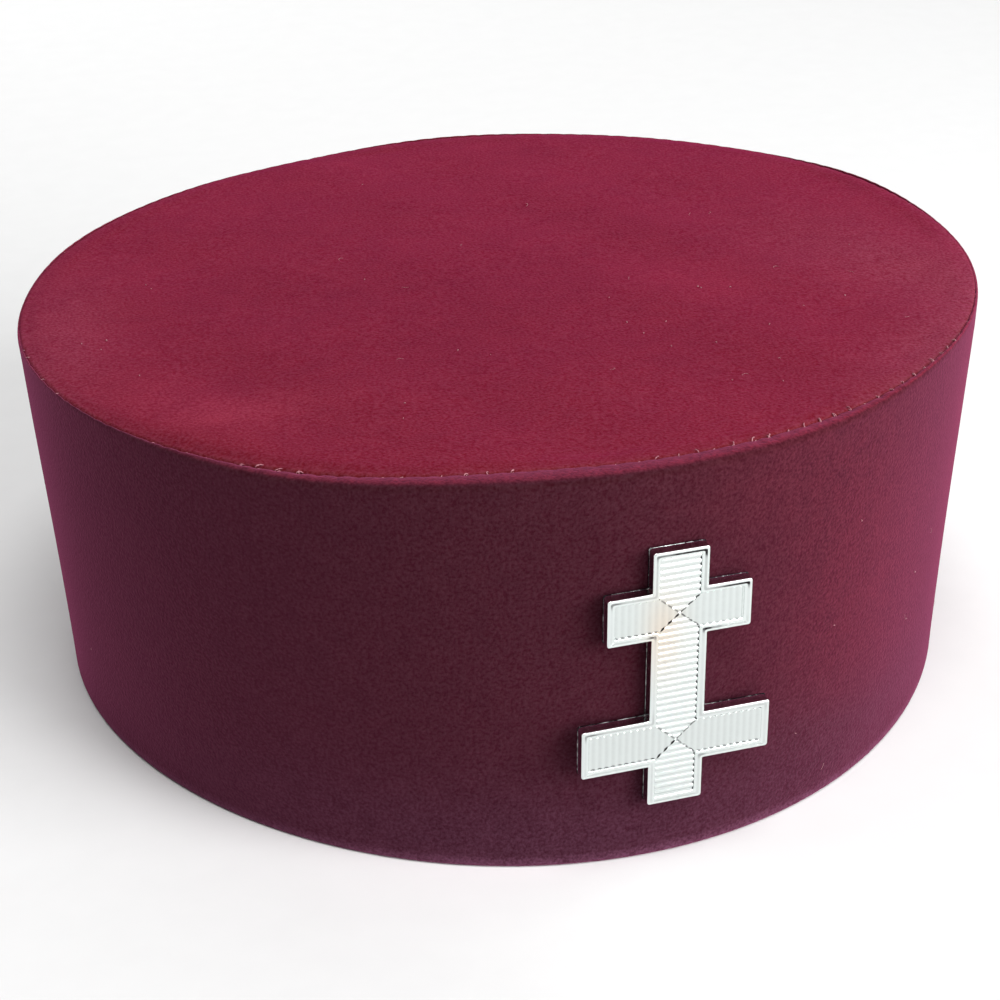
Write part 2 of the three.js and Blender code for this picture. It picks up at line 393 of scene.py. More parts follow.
def wall_rows(at):
    """The wall's section at every turn, row by row: inset, height, wear, and pile lying over with painted
    light.

    It goes up the outside from the rim's round, where wear shows, over the roll, down into
    the crease, and down the inside to the rim. Soft waves of the cloth die out at both ends
    of the outside. The roll is half a superellipse: with angle a from 0 to 180 degrees, it
    lies width / 2 * (1 - cos a) in and sin(a)^0.8 of its height up.
    """
    width, narrow, top, crease = (at[key] for key in ("width", "narrow", "roll_top", "crease"))
    foot = top - ROLL_HEIGHT + 0.3 * narrow
    groove = GROOVE_DEPTH * np.exp(-(turned(all_round - math.pi) * RIM_RADIUS / GROOVE_REACH) ** 2)
    rows = []
    for angle in np.radians((0, 22, 45, 68, 90)):
        rows.append((RIM_ROUND * (1 - math.sin(angle)), RIM_ROUND * (1 - math.cos(angle)), 0.3, 0.0))
    for share in np.linspace(0, 1, 42)[1:]:
        height = RIM_ROUND + (foot - RIM_ROUND) * share
        free = smooth_step(share, 0, 0.06) * smooth_step(1 - share, 0, 0.05)
        bulge = ripple(all_round * RIM_RADIUS, height, wall_waves) * free
        rows.append((groove * smooth_step(share, 0, 0.03) - bulge, height, 0.0, 0.0))
    for angle in np.radians(np.arange(10, 181, 10)):
        outer_half = angle < math.pi / 2
        inset = (width - 0.15 * at["pull"]) / 2 * (1 - math.cos(angle))
        base = foot if outer_half else crease
        # Painted light: the roll is painted lighter from its outer side up over its top, and less on its
        # inner side, as painted shade in the crease, unless it is narrow.
        laid_and_painted_light = at["laid_and_painted_light"] * smooth_step(angle, math.radians(42), math.radians(74))
        laid_and_painted_light = laid_and_painted_light * (1 - 0.45 * smooth_step(angle, math.radians(95), math.radians(150)) * (1 - narrow))
        rows.append((inset + (groove if outer_half else 0),
                     base + (top - base) * abs(math.sin(angle)) ** 0.8, 0.05 * laid_and_painted_light, laid_and_painted_light))
    hem = HEIGHT - WALL - 0.5
    rows.append((width + 0.05, (crease + hem) / 2, 0.0, 0.0))
    rows.append((width + 0.05, hem, 0.0, 0.0))
    outside_rows = len(rows)
    rows.append((np.maximum(width + 0.05, WALL), hem - 1.9, 0.0, 0.0))
    for height in np.linspace(hem - 4, 0.8, 14):
        rows.append((WALL, height, 0.0, 0.0))
    rows.append((WALL - 0.5, 0.0, 0.0, 0.0))
    columns = [np.stack([np.broadcast_to(row[i], COLUMNS) for row in rows]) for i in range(4)]
    return columns, outside_rows


def side_band(cloth, backing):
    """The wall, as one closed grid: its section carried round the cap."""
    (inset, height, worn, laid_and_painted_light), outside_rows = wall_rows(seam(all_round))
    points = on_cap(all_round, inset, height)
    rows = len(points)
    quads, row, _ = band_faces(rows, COLUMNS, closed=True)
    around = np.broadcast_to(all_round * RIM_RADIUS, height.shape)
    # lean brings in the marks' pile and painted light and shade, and the roll's painted light; the pale share
    # adds the marks' paleness and the rim's wear.
    lean = ovals(around, height, WALL_MARKS_AND_PAINTED_LIGHT, "lean") + laid_and_painted_light
    dust_and_painted_sheen = ovals(around, height, WALL_MARKS_AND_PAINTED_LIGHT, "dust_and_painted_sheen") + worn
    piece = mesh_piece("side_band_velvet", points.reshape(-1, 3), [quads], cloth,
                       shares={"lean": lean, "dust_and_painted_sheen": dust_and_painted_sheen})
    inside = (row[:, 0] >= outside_rows - 1) & (row[:, 0] < rows - 1)
    second_material(piece, backing, inside)
    return piece


def crown_plane(x, y):
    """Height of the crown's tilted plane."""
    return HEIGHT - CROWN_SUNK + CROWN_RISE_TO_RIGHT * x - CROWN_RISE_TO_FRONT * y


def crown_level(x, y):
    """Height of the crown's top: its plane and the soft waves of the cloth."""
    return crown_plane(x, y) + ripple(x, y, crown_waves)


def crown(cloth, backing):
    """The flat top, as one closed surface from the centre above to the centre below.

    Each ring is a share of the outline at the crease. The top is the tilted plane of the
    crown with soft waves, which die out near the crease. There it swells a little, dips at
    each stitch, follows the fold and is drawn down where the seam is tight. Its edge turns
    down in a quarter round.
    """
    at = seam(all_round)
    pull, drop, tight = (at[key] for key in ("pull", "drop", "tight"))
    inset = at["width"] + 0.04 + 0.12 * pull
    edge = on_cap(all_round, inset, np.full(COLUMNS, HEIGHT - CROWN_SUNK))
    radius = np.hypot(edge[:, 0], edge[:, 1])
    corner = 1 - CROWN_EDGE_ROUND / radius
    rings = []
    for share in np.concatenate([np.linspace(0.02, 0.88, 28, endpoint=False), np.linspace(0.88, 1, 17)]):
        x, y = edge[:, 0] * share * corner, edge[:, 1] * share * corner
        away = (1 - share * corner) * radius
        z = crown_plane(x, y) + ripple(x, y, crown_waves) * smooth_step(away, 0.5, 6)
        z += 0.1 * np.exp(-((away - 3.2) / 1.6) ** 2)
        z -= 0.16 * pull * np.exp(-(away / 1.5) ** 2)
        z -= (0.5 * drop + 0.6 * tight) * np.exp(-(away / 4) ** 2)
        rings.append(np.stack([x, y, z], -1))
    last = rings[-1][:, 2]
    for angle in np.radians((15, 30, 45, 60, 75, 90)):
        reach = corner + (1 - corner) * math.sin(angle)
        z = last - at["crease_depth"] * (1 - math.cos(angle))
        rings.append(np.stack([edge[:, 0] * reach, edge[:, 1] * reach, z], -1))
    first_under = len(rings)
    for share, lift in ((1.0, 0.4), (0.99, 0), (0.8, 0), (0.55, 0), (0.3, 0), (0.1, 0)):
        x, y = edge[:, 0] * share, edge[:, 1] * share
        rings.append(np.stack([x, y, crown_plane(x, y) - WALL + lift], -1))
    rows = len(rings)
    quads, row, _ = band_faces(rows, COLUMNS, closed=False)
    first = rows * COLUMNS
    here = np.arange(COLUMNS)
    following = (here + 1) % COLUMNS
    under = first - COLUMNS
    fan_top = np.stack([following, np.full(COLUMNS, first), here], -1)
    fan_under = np.stack([under + here, np.full(COLUMNS, first + 1), under + following], -1)
    poles = np.array([[0, 0, crown_level(0, 0)], [0, 0, crown_plane(0, 0) - WALL]])
    points = np.concatenate([*rings, poles])
    share = np.hypot(points[:, 0], points[:, 1]) / np.append(np.tile(radius, rows), [1, 1])
    tight = np.append(np.tile(tight, rows), [0, 0])
    lean = ovals(points[:, 0], points[:, 1], CROWN_MARKS_AND_PAINTED_LIGHT, "lean")
    # Painted shade: the crown's edge darker towards the crease, more where the seam is tight.
    lean -= (0.05 + 0.12 * tight) * smooth_step(share, 0.94, 0.985)
    dust_and_painted_sheen = ovals(points[:, 0], points[:, 1], CROWN_MARKS_AND_PAINTED_LIGHT, "dust_and_painted_sheen")
    # Painted sheen: a touch of the pale, pinker colour where the edge turns down into the crease.
    dust_and_painted_sheen += 0.05 * smooth_step(share, 0.975, 0.995)
    piece = mesh_piece("crown_velvet", points, [quads[:, ::-1], fan_top, fan_under], cloth,
                       shares={"lean": lean, "dust_and_painted_sheen": dust_and_painted_sheen})
    below = np.concatenate([row[:, 0] >= first_under, np.zeros(COLUMNS, bool), np.ones(COLUMNS, bool)])
    second_material(piece, backing, below)
    return piece


# ---------------- threads

def tubes(paths, radii, up, sides):
    """Points, faces and surface coordinates of closed tubes along paths.

    paths is tube by step by x, y, z, and radii tube by step. A ring of a tube lies at its
    path + radius * (cos a * side + sin a * over), where side is square to the path and to up,
    and over is square to both. The surface coordinates are the share round and the mm along.
    """
    ahead = np.gradient(paths, axis=1)
    ahead /= np.linalg.norm(ahead, axis=-1, keepdims=True)
    side = np.cross(ahead, np.broadcast_to(up, paths.shape))
    side /= np.linalg.norm(side, axis=-1, keepdims=True)
    over = np.cross(side, ahead)
    a = (2 * math.pi * np.arange(sides) / sides)[None, None, :, None]
    outwards = np.cos(a) * side[:, :, None] + np.sin(a) * over[:, :, None]
    ring = paths[:, :, None] + radii[:, :, None, None] * outwards
    count, steps = radii.shape
    quads, row, column = band_faces(steps, sides, closed=False)
    length = np.linalg.norm(np.diff(paths, axis=1), axis=-1)
    along = np.concatenate([np.zeros((count, 1)), np.cumsum(length, axis=1)], 1)
    share_round = np.broadcast_to(column / sides, (count, *column.shape))
    quad_uv = np.stack([share_round, along[:, row]], -1)[:, :, ::-1]
    quads = quads[:, ::-1]
    first = np.arange(sides)[None]
    last = ((steps - 1) * sides + np.arange(sides))[None, ::-1]
    offset = (np.arange(count) * steps * sides)[:, None, None]
    faces = [(group[None] + offset).reshape(-1, group.shape[1]) for group in (quads, first, last)]
    cap_uv = np.zeros((count * sides, 2))
    return ring.reshape(-1, 3), faces, [quad_uv, cap_uv, cap_uv]


def crown_stitches(thread):
    """The stitches that hold the crown to the roll: two slanted strands at each, one sunk deeper.

    With s from 0 to 1 along a strand, it runs straight from the roll's top to the crown's
    edge, and sideways by its slant * (s - 0.5) and its bow * sin(pi s). It arches over the
    crease by 0.16 sin(pi s), and dips into the pile at its ends by 0.35 (2 s - 1)^6.
    """
    s = np.linspace(0, 1, 11)[None]
    strands = 2 * STITCHES
    strand_turn = np.repeat(stitch_turn, 2)
    at = seam(strand_turn)
    width, drop, tight, roll_top = (at[key][:, None] for key in ("width", "drop", "tight", "roll_top"))
    degrees = np.degrees(turned(strand_turn))
    sunk = np.tile([0.0, 0.35], STITCHES)
    for start, end in SUNK_STITCHES:
        sunk += smooth_step(degrees, start - 1, start) * (1 - smooth_step(degrees, end, end + 1))
    sunk = np.clip(sunk * rng.uniform(0.5, 1, strands) + rng.uniform(-0.2, 0.55, strands), 0, 1)[:, None]
    slant = rng.uniform(-0.3, 1.7, (strands, 1))
    bow = rng.uniform(-0.3, 0.3, (strands, 1))
    over_roll = rng.uniform(0.1, 0.9, (strands, 1)) * np.minimum(width, 1.0)
    over_crown = rng.uniform(0.2, 1.2, (strands, 1))
    around = strand_turn[:, None] + (slant * (s - 0.5) + bow * np.sin(math.pi * s)) / CROWN_RADIUS
    inset = width - over_roll + (over_roll + over_crown) * s
    crown_edge = HEIGHT - 0.15 - 0.5 * drop - 0.6 * tight
    height = roll_top * (1 - s) + crown_edge * s + 0.16 * np.sin(math.pi * s)
    height = height - 0.35 * (2 * s - 1) ** 6 - 0.9 * sunk
    paths = on_cap(around, inset, height)
    radii = THREAD_RADIUS * rng.uniform(0.8, 1.2, (strands, 1)) * (1 - 0.7 * (2 * s - 1) ** 10)
    points, faces, uv = tubes(paths, radii, (0.0, 0.0, 1.0), 6)
    return mesh_piece("crown_stitches", points, faces, thread, uv)


def curls(count, shortest, longest, curl):
    """Random curled paths in a flat sheet, from 0, 0: their steps, summed along each.

    A path's heading is start + bend s + wave sin(6 s), with s from 0 to 1 along it.
    """
    s = np.linspace(0, 1, 9)[None]
    heading = rng.uniform(0, 2 * math.pi, (count, 1)) + rng.uniform(-curl, curl, (count, 1)) * s
    heading = heading + rng.uniform(-0.6, 0.6, (count, 1)) * np.sin(6 * s)
    step = rng.uniform(shortest, longest, (count, 1)) / 8
    across = np.cumsum(np.cos(heading) * step, axis=1)
    along = np.cumsum(np.sin(heading) * step, axis=1)
    return across, along, s


def above_crown(x, y, lift):
    """Points at x and y, lifted off the crown's velvet."""
    return np.stack([x, y, crown_level(x, y) + lift], -1)


def above_wall(around, height, lift):
    """Points at mm round from the front and a height, lifted off the wall's velvet."""
    bulge = ripple(around, height, wall_waves)
    return on_cap(around / RIM_RADIUS, -bulge - lift, height)


def lint(fibre):
    """Loose fibres and specks on the pile, as thin closed tubes that arch over it.

    In each patch they start at its middle + r (long cos a, wide sin a), with r the root of
    an even draw, and at s along them they are 0.06 + lift * sin(pi s) off the pile.
    """
    paths = []
    radii = []
    for patch in LINT:
        count = patch["count"]
        across, along, s = curls(count, patch["shortest"], patch["longest"], patch["curl"])
        reach = np.sqrt(rng.uniform(0, 1, (count, 1)))
        direction = rng.uniform(0, 2 * math.pi, (count, 1))
        x = patch["x"] + patch["long"] * reach * np.cos(direction) + across
        y = patch["y"] + patch["wide"] * reach * np.sin(direction) + along
        lift = 0.06 + patch["lift"] * np.sin(math.pi * s) * rng.uniform(0.2, 1, (count, 1))
        above = above_crown if patch["on"] == "crown" else above_wall
        paths.append(above(x, y, lift))
        thick = patch["radius"] * rng.uniform(0.75, 1.25, (count, 1))
        radii.append(thick * np.sqrt(1.02 - (2 * s - 1) ** 2) ** 0.5)
    points, faces, uv = tubes(np.concatenate(paths), np.concatenate(radii), (0.2, -0.3, 0.93), 5)
    return mesh_piece("lint", points, faces, fibre, uv)


# ---------------- finishes

def linear(colour):
    """The linear colour, with full alpha, of an sRGB hex value such as "7d2439"."""
    parts = [int(colour[i:i + 2], 16) / 255 for i in (0, 2, 4)]
    parts = [p / 12.92 if p <= 0.04045 else ((p + 0.055) / 1.055) ** 2.4 for p in parts]
    return (*parts, 1.0)


def give(tree, node, inputs):
    """Gives a node its inputs, each of them a number, a colour or a link."""
    for name, value in inputs.items():
        if isinstance(value, bpy.types.NodeSocket):
            tree.links.new(value, node.inputs[name])
        else:
            node.inputs[name].default_value = value


def add(tree, kind, inputs=None, **settings):
    """Adds one node, with its inputs and with settings for its properties. Returns its outputs."""
    node = tree.nodes.new("ShaderNode" + kind)
    for name, value in settings.items():
        setattr(node, name, value)
    give(tree, node, inputs or {})
    return node.outputs


def new_material(name):
    """A new material, its node tree and its shader, and its place on the piece in mm."""
    material = bpy.data.materials.new(name)
    material.use_nodes = True
    tree = material.node_tree
    place = add(tree, "TexCoord")["Object"]
    mm = add(tree, "Mapping", {"Vector": place, "Scale": (1 / MM, 1 / MM, 1 / MM)})["Vector"]
    return material, tree, tree.nodes["Principled BSDF"], mm


def velvet(name, pit, tip, laid_and_painted_light, rubbed_and_painted_sheen_colour, sheen, sheen_weight):
    """Cotton velvet: short upright pile, about 2 mm deep, on a woven ground.

    The eye gets a deep colour with no gloss, a fine grain from deep pits to paler, pinker
    tips, soft brushed patches, and a paler edge where the pile is seen side on. Where the
    attribute "lean" is above 0 the pile takes the colour laid_and_painted_light: pile that lies
    over, and in places painted light and sheen. Below 0 it is darker, as painted shade.
    "dust_and_painted_sheen" brings the colour rubbed_and_painted_sheen_colour, for dirt and wear
    and in places for painted sheen. Tufts stand about 0.5 mm apart; the grain is drawn at 0.6 mm.
    """
    material, tree, shader, mm = new_material(name)
    brushed = add(tree, "TexNoise", {"Vector": mm, "Scale": 1 / 24, "Detail": 2.0, "Roughness": 0.5})["Fac"]
    patches = add(tree, "TexNoise", {"Vector": mm, "Scale": 1 / 4.5, "Detail": 2.0, "Roughness": 0.6})["Fac"]
    tufts = add(tree, "TexNoise", {"Vector": mm, "Scale": 1 / 0.6, "Detail": 1.0, "Roughness": 0.6})["Fac"]
    grain = add(tree, "MapRange", {"Value": tufts, "From Min": 0.3, "From Max": 0.7})[0]
    pile = add(tree, "Mix", {0: grain, 6: linear(pit), 7: linear(tip)}, data_type="RGBA")[2]
    lean = add(tree, "Attribute", attribute_name="lean")["Fac"]
    # Below 0, lean darkens the pile: painted shade.
    away = add(tree, "Math", {0: lean, 1: 0.0}, operation="MINIMUM")[0]
    shade = add(tree, "Math", {0: brushed, 1: 0.25, 2: away}, operation="MULTIPLY_ADD")[0]
    shade = add(tree, "Math", {0: patches, 1: 0.3, 2: shade}, operation="MULTIPLY_ADD")[0]
    shade = add(tree, "Math", {0: shade, 1: 0.725}, operation="ADD")[0]
    shaded = add(tree, "HueSaturation", {"Value": shade, "Color": pile})["Color"]
    broken = add(tree, "Math", {0: patches, 1: grain}, operation="ADD")[0]
    # Above 0, lean brings the lighter, redder colour: pile that lies over, and in places painted light and
    # sheen.
    stroked_and_painted_lit = add(tree, "Math", {0: lean, 1: broken}, operation="MULTIPLY", use_clamp=True)[0]
    combed_and_painted_lit = add(tree, "Mix", {0: stroked_and_painted_lit, 6: shaded, 7: linear(laid_and_painted_light)}, data_type="RGBA")[2]
    dust_and_painted_sheen = add(tree, "Attribute", attribute_name="dust_and_painted_sheen")["Fac"]
    # The paler, pinker colour: dirt and wear, and in places painted sheen.
    settled_dust_and_painted_sheen = add(tree, "Math", {0: dust_and_painted_sheen, 1: broken}, operation="MULTIPLY", use_clamp=True)[0]
    colour = add(tree, "Mix", {0: settled_dust_and_painted_sheen, 6: combed_and_painted_lit, 7: linear(rubbed_and_painted_sheen_colour)}, data_type="RGBA")[2]
    bump = add(tree, "Bump", {"Height": tufts, "Strength": 0.4, "Distance": 0.3 * MM})["Normal"]
    give(tree, shader, {"Base Color": colour, "Normal": bump, "Roughness": 0.95, "Specular IOR Level": 0.0,
                        "Sheen Weight": sheen_weight, "Sheen Roughness": 0.5, "Sheen Tint": linear(sheen)})
    return material


def woven_backing(name, flat):
    """Plain-woven cotton, the velvet's back: matt, with two sets of threads over each other.

    They run along X and Y where the cloth lies flat, and round and up the wall. Threads lie
    about 0.5 mm apart; they are drawn 1 mm apart so that they show.
    """
    material, tree, shader, mm = new_material(name)
    parts = add(tree, "SeparateXYZ", {"Vector": mm})
    turn = add(tree, "Math", {0: parts["Y"], 1: parts["X"]}, operation="ARCTAN2")[0]
    around = add(tree, "Math", {0: turn, 1: RIM_RADIUS}, operation="MULTIPLY")[0]
    first, second = (parts["X"], parts["Y"]) if flat else (around, parts["Z"])
    across = add(tree, "Math", {0: first, 1: math.pi}, operation="MULTIPLY")[0]
    along = add(tree, "Math", {0: second, 1: math.pi}, operation="MULTIPLY")[0]
    level = add(tree, "Math", {0: across}, operation="SINE")[0]
    upright = add(tree, "Math", {0: along}, operation="SINE")[0]
    weave = add(tree, "Math", {0: level, 1: upright}, operation="MULTIPLY")[0]
    slub = add(tree, "TexNoise", {"Vector": mm, "Scale": 1 / 3, "Detail": 3.0, "Roughness": 0.6})["Fac"]
    height = add(tree, "Math", {0: weave, 1: 0.35, 2: slub}, operation="MULTIPLY_ADD")[0]
    share = add(tree, "MapRange", {"Value": height, "From Min": 0.1, "From Max": 0.9})[0]
    colour = add(tree, "Mix", {0: share, 6: linear("4a1720"), 7: linear("7c3340")}, data_type="RGBA")[2]
    bump = add(tree, "Bump", {"Height": height, "Strength": 0.5, "Distance": 0.3 * MM})["Normal"]
    give(tree, shader, {"Base Color": colour, "Normal": bump, "Roughness": 0.85, "Specular IOR Level": 0.2})
    return material


def cotton_thread(name, dark, light):
    """Twisted cotton thread: pale, softly glossed, with the slant of its twist along it."""
    material, tree, shader, mm = new_material(name)
    parts = add(tree, "SeparateXYZ", {"Vector": add(tree, "UVMap", uv_map="surface")["UV"]})
    around = add(tree, "Math", {0: parts["X"], 1: 2 * math.pi}, operation="MULTIPLY")[0]
    along = add(tree, "Math", {0: parts["Y"], 1: 2 * math.pi / 0.6, 2: around}, operation="MULTIPLY_ADD")[0]
    twist = add(tree, "Math", {0: along}, operation="SINE")[0]
    wear = add(tree, "TexNoise", {"Vector": mm, "Scale": 1 / 2.5, "Detail": 2.0, "Roughness": 0.6})["Fac"]
    total = add(tree, "Math", {0: twist, 1: 0.15, 2: wear}, operation="MULTIPLY_ADD")[0]
    share = add(tree, "MapRange", {"Value": total, "From Min": 0.25, "From Max": 0.75})[0]
    colour = add(tree, "Mix", {0: share, 6: linear(dark), 7: linear(light)}, data_type="RGBA")[2]
    bump = add(tree, "Bump", {"Height": twist, "Strength": 0.3, "Distance": 0.1 * MM})["Normal"]
    give(tree, shader, {"Base Color": colour, "Normal": bump, "Roughness": 0.6})
    return material


def chrome_plate(name):
    """Nickel and chrome plate over pressed metal: a bright, faintly cool mirror.

    The eye gets white reflections that waver a little over the pressing, soft wipe marks, a
    creamy cast in one patch, from the attribute "warm", and painted shade and dark reflections
    in the deep corners, on the sides and in the step, from the attribute "painted_shade".
    """
    material, tree, shader, mm = new_material(name)
    wipes = add(tree, "TexNoise", {"Vector": mm, "Scale": 1 / 5, "Detail": 4.0, "Roughness": 0.6})["Fac"]
    rough = add(tree, "MapRange", {"Value": wipes, "From Min": 0.3, "From Max": 0.7,
                                   "To Min": 0.06, "To Max": 0.16})[0]
    painted_shade = add(tree, "Attribute", attribute_name="painted_shade")["Fac"]
    fine = add(tree, "TexNoise", {"Vector": mm, "Scale": 1 / 0.8, "Detail": 2.0, "Roughness": 0.6})["Fac"]
    patchy = add(tree, "MapRange", {"Value": fine, "From Min": 0.3, "From Max": 0.7,
                                    "To Min": 0.85, "To Max": 1.25})[0]
    # Painted shade and dark reflections, made patchy by fine noise.
    patchy_painted_shade = add(tree, "Math", {0: painted_shade, 1: patchy}, operation="MULTIPLY", use_clamp=True)[0]
    warm = add(tree, "Attribute", attribute_name="warm")["Fac"]
    plate = add(tree, "Mix", {0: warm, 6: linear("e2e9e7"), 7: linear("ecdfcf")}, data_type="RGBA")[2]
    colour = add(tree, "Mix", {0: patchy_painted_shade, 6: plate, 7: linear("201a1e")}, data_type="RGBA")[2]
    bump = add(tree, "Bump", {"Height": wipes, "Strength": 0.1, "Distance": 0.2 * MM})["Normal"]
    give(tree, shader, {"Base Color": colour, "Roughness": rough, "Normal": bump, "Metallic": 1.0})
    return material


def brushed_steel(name):
    """Cut and brushed spring steel: grey, half dull, with fine lines along its length."""
    material, tree, shader, mm = new_material(name)
    along = add(tree, "Mapping", {"Vector": mm, "Scale": (1 / 0.3, 1 / 0.3, 1 / 8)})["Vector"]
    lines = add(tree, "TexNoise", {"Vector": along, "Scale": 1.0, "Detail": 3.0, "Roughness": 0.6})["Fac"]
    rough = add(tree, "MapRange", {"Value": lines, "From Min": 0.3, "From Max": 0.7,
                                   "To Min": 0.3, "To Max": 0.5})[0]
    colour = add(tree, "Mix", {0: lines, 6: linear("8c8d8e"), 7: linear("acadae")}, data_type="RGBA")[2]
    bump = add(tree, "Bump", {"Height": lines, "Strength": 0.1, "Distance": 0.1 * MM})["Normal"]
    give(tree, shader, {"Base Color": colour, "Roughness": rough, "Normal": bump, "Metallic": 1.0})
    return material


def matt_paper(name):
    """Matt white backdrop paper: even and pale, with a barely seen fibre."""
    material, tree, shader, mm = new_material(name)
    fibre = add(tree, "TexNoise", {"Vector": mm, "Scale": 1 / 9, "Detail": 3.0, "Roughness": 0.5})["Fac"]
    colour = add(tree, "Mix", {0: fibre, 6: linear("e5e5e5"), 7: linear("e9e9e9")}, data_type="RGBA")[2]
    give(tree, shader, {"Base Color": colour, "Roughness": 0.95, "Specular IOR Level": 0.1})
    return material


# ---------------- cross

def cross_axes():
    """The cross's own axes on the wall: its centre, then right, up and outwards."""
    slope = math.atan((outside_radius(0, 1) - outside_radius(0, 0)) / HEIGHT)
    centre = np.array([CROSS_SIDEWAYS, -outside_radius(0, CROSS_CENTRE_HEIGHT / HEIGHT), CROSS_CENTRE_HEIGHT])
    right = np.array([1.0, 0.0, 0.0])
    up = np.array([0.0, -math.sin(slope), math.cos(slope)])
    outward = np.array([0.0, -math.cos(slope), -math.sin(slope)])
    lean, straight = math.sin(CROSS_LEAN), math.cos(CROSS_LEAN)
    return centre, straight * right - lean * up, lean * right + straight * up, outward


def on_cross(points):
    """Points given right, up and outwards in the cross's own frame, on the cap."""
    centre, right, up, outward = cross_axes()
    return centre + points[..., :1] * right + points[..., 1:2] * up + points[..., 2:] * outward


def cross_corners():
    """The cross's corners, anticlockwise from the top left, as the front shows them."""
    side, end = CROSS_UPRIGHT / 2, CROSS_HEIGHT / 2
    right = [(side, end)]
    for bar in CROSS_BARS:
        tip, half = bar["span"] / 2, bar["width"] / 2
        right += [(side, bar["height"] + half), (tip, bar["height"] + half),
                  (tip, bar["height"] - half), (side, bar["height"] - half)]
    right.append((side, -end))
    left = [(-x, y) for x, y in right]
    return np.array(left + right[::-1])


def cross_ring(inset, convex, concave, height):
    """The outline drawn in by inset at a height, with each corner a quarter round.

    With a and b the directions into and out of a corner, the round's centre is the corner
    - a r + b r, and its points are the centre - b r cos t + a r sin t. The straight run to
    the next corner is split into equal parts.
    """
    corner = cross_corners()
    out_of = np.roll(corner, -1, 0) - corner
    out_of = out_of / np.linalg.norm(out_of, axis=1, keepdims=True)
    into = np.roll(out_of, 1, 0)
    turns_left = (into[:, 0] * out_of[:, 1] - into[:, 1] * out_of[:, 0]) > 0
    inward = np.stack([-out_of[:, 1], out_of[:, 0]], -1) + np.stack([-into[:, 1], into[:, 0]], -1)
    moved = corner + inward * inset
    r = np.where(turns_left, convex, concave)[:, None]
    centre = moved - into * r + out_of * r
    t = np.linspace(0, math.pi / 2, CORNER_POINTS)[None, :, None]
    bend = centre[:, None] - (out_of * r)[:, None] * np.cos(t) + (into * r)[:, None] * np.sin(t)
    share = (np.arange(1, SIDE_PARTS) / SIDE_PARTS)[None, :, None]
    straight = bend[:, -1:] * (1 - share) + np.roll(bend[:, :1], -1, 0) * share
    ring = np.concatenate([bend, straight], 1).reshape(-1, 2)
    return np.concatenate([ring, np.full((len(ring), 1), height)], 1)


def cross_plate():
    """Points, faces and painted shade of the plate: rings of the outline, closed by a face at each end.

    From the back: a thin bead, the straight side, a rounded edge, a step down to a flat
    strip, and the slope down to the field. The bead and the side are painted dark, a painted
    shadow and dark reflection, broken by painted glints; the step is painted dark where it
    faces down, a painted dark reflection.
    """
    top = CROSS_GAP + CROSS_THICKNESS
    strip = top - CROSS_STEP_DEPTH
    floor = top - CROSS_FIELD_DEPTH
    bevel = 0.3
    rings = []
    for angle in np.radians((-90, -45, 0, 45, 90)):
        out = 0.13 * math.cos(angle)
        rings.append(cross_ring(-out, 0.55, 0.15, CROSS_GAP + 0.13 * (1 + math.sin(angle))))
    bead = len(rings)
    for inset, height in ((0.02, CROSS_GAP + 0.3), (0.0, top - bevel - 0.3), (0.0, top - bevel)):
        rings.append(cross_ring(inset, 0.5, 0.15, height))
    for angle in np.radians((22, 45, 68, 90)):
        inset = bevel * (1 - math.cos(angle))
        height = top - bevel * (1 - math.sin(angle))
        rings.append(cross_ring(inset, 0.5 - inset / 2, 0.15 + inset, height))
    step = len(rings)
    for inset, height in ((0.34, top), (0.47, top), (0.5, top), (0.56, top - 0.03), (0.92, strip + 0.03),
                          (0.98, strip), (1.02, strip), (CROSS_BORDER - 0.1, strip),
                          (CROSS_BORDER - 0.06, strip), (CROSS_BORDER, strip - 0.04),
                          (CROSS_BORDER + 0.16, floor - 0.1)):
        rings.append(cross_ring(inset, 0.35, 0.4, height))
    points = np.stack(rings)
    rows, columns = points.shape[:2]
    painted_shade = np.zeros((rows, columns))
    # Painted shadow and dark reflection: the bead at the back dark, the side half dark.
    painted_shade[:bead] = 1.0
    painted_shade[bead:bead + 2] = 0.35
    x, y = points[..., 0], points[..., 1]
    # Painted glints along the back edge, broken by a wave.
    painted_glint = np.clip(ovals(x[:bead], y[:bead], BACK_EDGE_PAINTED_GLINTS, "painted_glint"), 0, 1)
    painted_shade[:bead] -= painted_glint * (0.75 + 0.25 * np.sin(7 * x[:bead] + 2 * np.sin(3 * y[:bead] + 5 * x[:bead])))
    inward = points[step + 4] - points[step]
    facing = inward[:, :2] / np.hypot(inward[:, 0], inward[:, 1])[:, None]
    level_run = smooth_step(np.abs(facing[:, 1]), 0.5, 0.9)
    overhang = smooth_step(-facing[:, 1], 0.5, 0.9)
    slope = slice(step + 3, step + 5)
    # Painted dark reflection on the step's slope, most where it faces down, with spots from the table above.
    painted_shade[slope] += 0.06 + 0.12 * level_run + 0.24 * overhang
    painted_shade[slope] += ovals(x[slope], y[slope], STEP_PAINTED_SHADE, "painted_shade")
    quads, _, _ = band_faces(rows, columns, closed=False)
    back = np.arange(columns)[None, ::-1]
    front = ((rows - 1) * columns + np.arange(columns))[None]
    return points.reshape(-1, 3), [quads, back, front], np.clip(painted_shade, 0, 1).ravel()


